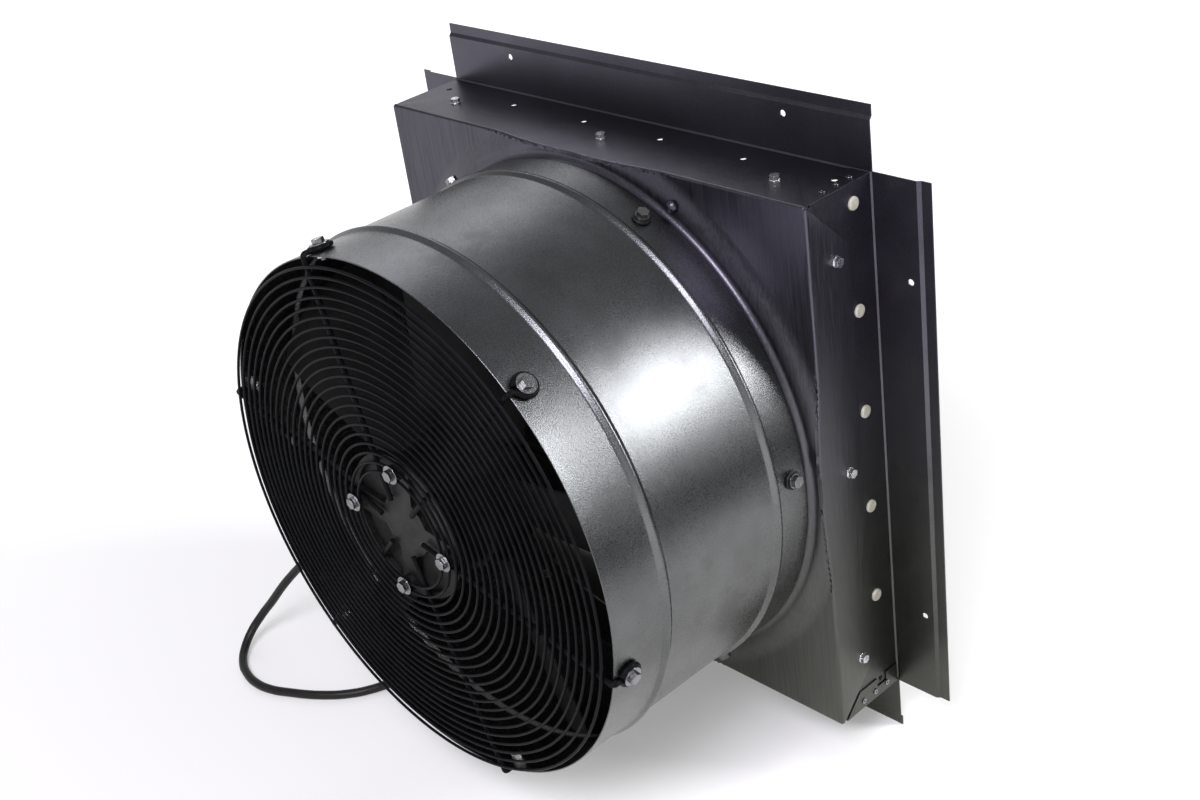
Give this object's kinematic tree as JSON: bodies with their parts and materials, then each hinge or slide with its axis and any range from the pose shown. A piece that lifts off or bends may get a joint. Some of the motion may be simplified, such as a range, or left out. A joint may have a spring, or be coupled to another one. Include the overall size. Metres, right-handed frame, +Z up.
{
  "type": "whole house fan",
  "caption": "Ducted whole house fan: round steel tube with a guarded axial fan and motor, on a square box with a gravity louvre shutter and a wide wall flange.",
  "frame": {"origin": "on the fan's axis, in the plane of the wall flange's front face", "axes": "+Y along the fan's axis towards the louvres and outdoors, +Z up, +X to the right seen from the guard"},
  "size_m": [0.7197, 0.3754, 0.6408],
  "materials": {
    "tube_steel": "galvanised, fine grain",
    "box_steel": "galvanised, duller",
    "zinc_hardware": "zinc plated, bright",
    "guard_wire": "gloss black",
    "cast_motor": "as cast",
    "fan_black": "satin black",
    "core_steel": "laminated",
    "copper_wire": "enamelled copper",
    "bright_steel": "ground",
    "nylon": "cream nylon",
    "louvre_aluminium": "mill finish",
    "black_rubber": "matt black",
    "black_plastic": "moulded black",
    "capacitor_plastic": "moulded grey",
    "plug_brass": "nickelled brass"
  },
  "bodies": {
    "root": {"fan_panel": "box_steel", "face_rivet": "zinc_hardware", "duct_tube": "tube_steel", "collar_bolts": "zinc_hardware", "collar_washers": "black_rubber", "collar_nuts": "zinc_hardware", "guard_rings": "guard_wire", "guard_ribs": "guard_wire", "guard_bolts": "zinc_hardware", "guard_washers": "zinc_hardware", "guard_nuts": "zinc_hardware", "motor_flange": "cast_motor", "motor_screws": "zinc_hardware", "motor_washers": "zinc_hardware", "stator_core": "core_steel", "stator_windings": "copper_wire", "front_bearing": "bright_steel", "rear_bearing": "bright_steel", "right_rail": "box_steel", "top_rail": "box_steel", "left_rail": "box_steel", "bottom_rail": "box_steel", "corner_rivets": "zinc_hardware", "panel_screws": "zinc_hardware", "pivot_bushings": "nylon", "terminal_box": "black_plastic", "terminal_lid": "black_plastic", "lid_screws": "zinc_hardware", "run_capacitor": "capacitor_plastic", "motor_lead": "black_rubber", "lead_ties": "black_plastic", "cable_gland": "black_plastic", "strain_boot": "black_rubber", "power_cord": "black_rubber", "cord_coil": "black_rubber", "coil_tie": "black_plastic", "plug_body": "black_rubber", "plug_pins": "plug_brass"},
    "rotor": {"motor_shaft": "bright_steel", "rotor_shell": "fan_black", "hub_ring": "fan_black", "blade_1": "fan_black", "blade_2": "fan_black", "blade_3": "fan_black", "blade_4": "fan_black", "blade_5": "fan_black"},
    "louvre_1": {"louvre_1": "louvre_aluminium", "pivot_rod_1": "bright_steel"},
    "louvre_2": {"louvre_2": "louvre_aluminium", "pivot_rod_2": "bright_steel"},
    "louvre_3": {"louvre_3": "louvre_aluminium", "pivot_rod_3": "bright_steel"},
    "louvre_4": {"louvre_4": "louvre_aluminium", "pivot_rod_4": "bright_steel"},
    "louvre_5": {"louvre_5": "louvre_aluminium", "pivot_rod_5": "bright_steel"},
    "tie_bar": {"tie_bar": "zinc_hardware", "tie_pins": "bright_steel"}
  },
  "joints": [
    {"name": "rotor_spin", "type": "hinge", "parent": "root", "child": "rotor", "pos_m": [0, -0.29, 0], "axis": [0, 1, 0], "continuous": true},
    {"name": "louvre_1_swing", "type": "hinge", "parent": "root", "child": "louvre_1", "pos_m": [0, -0.0255, 0.245], "axis": [1, 0, 0], "range_deg": [0, 80]},
    {"name": "louvre_2_swing", "type": "hinge", "parent": "root", "child": "louvre_2", "pos_m": [0, -0.0255, 0.147], "axis": [1, 0, 0], "range_deg": [0, 80]},
    {"name": "louvre_3_swing", "type": "hinge", "parent": "root", "child": "louvre_3", "pos_m": [0, -0.0255, 0.049], "axis": [1, 0, 0], "range_deg": [0, 80]},
    {"name": "louvre_4_swing", "type": "hinge", "parent": "root", "child": "louvre_4", "pos_m": [0, -0.0255, -0.049], "axis": [1, 0, 0], "range_deg": [0, 80]},
    {"name": "louvre_5_swing", "type": "hinge", "parent": "root", "child": "louvre_5", "pos_m": [0, -0.0255, -0.147], "axis": [1, 0, 0], "range_deg": [0, 80]},
    {"name": "tie_bar_swing", "type": "hinge", "parent": "louvre_1", "child": "tie_bar", "pos_m": [0.06, -0.04429, 0.25184], "axis": [1, 0, 0], "range_deg": [-80, 0]}
  ],
  "couplings": [
    {"joint": "louvre_2_swing", "follows": "louvre_1_swing", "ratio": 1},
    {"joint": "louvre_3_swing", "follows": "louvre_1_swing", "ratio": 1},
    {"joint": "louvre_4_swing", "follows": "louvre_1_swing", "ratio": 1},
    {"joint": "louvre_5_swing", "follows": "louvre_1_swing", "ratio": 1},
    {"joint": "tie_bar_swing", "follows": "louvre_1_swing", "ratio": -1}
  ]
}
